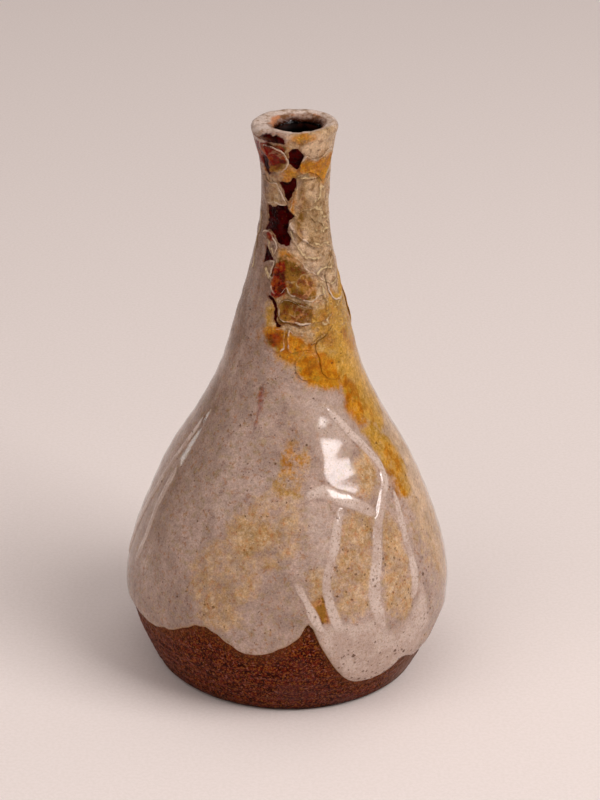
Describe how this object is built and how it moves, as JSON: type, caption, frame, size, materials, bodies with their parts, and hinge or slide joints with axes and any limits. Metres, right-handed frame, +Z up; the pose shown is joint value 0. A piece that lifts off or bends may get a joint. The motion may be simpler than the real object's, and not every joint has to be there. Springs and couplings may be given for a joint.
{
  "type": "sake bottle",
  "caption": "Hand-thrown stoneware sake bottle with a pear-shaped belly, slim flared neck, small mouth and thick cracked glaze above a bare foot.",
  "frame": {"origin": "centre of the flat foot, on the surface the bottle stands on", "axes": "+Z up along the throwing axis, -Y the glaze's front, +X to its right"},
  "size_m": [0.115, 0.1148, 0.1999],
  "materials": {
    "stoneware": "unglazed, coarse iron-rich clay, dark red-brown with golden specks, matt",
    "inner_glaze": "thin dark brown glaze, satin",
    "coat_glaze": "grey-mauve ash glaze, ochre where it breaks, iron specks, glossy",
    "plate_glaze": "thick cracked glaze, ochre to olive with pale curled edges, glossy",
    "run_glaze": "pale milky glaze run, glossy"
  },
  "bodies": {
    "root": {"stoneware_body": "stoneware", "liner_glaze": "inner_glaze", "glaze_coat": "coat_glaze", "neck_plate_leaf": "plate_glaze", "neck_plate_collar": "plate_glaze", "neck_plate_grey": "plate_glaze", "neck_plate_broad": "plate_glaze", "neck_plate_tip": "plate_glaze", "neck_plate_olive": "plate_glaze", "neck_plate_lower_grey": "plate_glaze", "neck_plate_rust": "plate_glaze", "neck_plate_amber_left": "plate_glaze", "neck_plate_amber_middle": "plate_glaze", "neck_plate_amber_low": "plate_glaze", "neck_plate_gold": "plate_glaze", "neck_plate_side": "plate_glaze", "neck_plate_back_high": "plate_glaze", "neck_plate_back_middle": "plate_glaze", "neck_plate_back_low": "plate_glaze", "glaze_run_crest": "run_glaze", "glaze_run_arc": "run_glaze", "glaze_run_inner_branch": "run_glaze", "glaze_run_outer_branch": "run_glaze", "glaze_run_hem": "run_glaze", "glaze_run_side_long": "run_glaze", "glaze_run_side_short": "run_glaze", "glaze_run_back_left": "run_glaze", "glaze_run_back_middle": "run_glaze", "glaze_run_back_right": "run_glaze"}
  },
  "joints": []
}
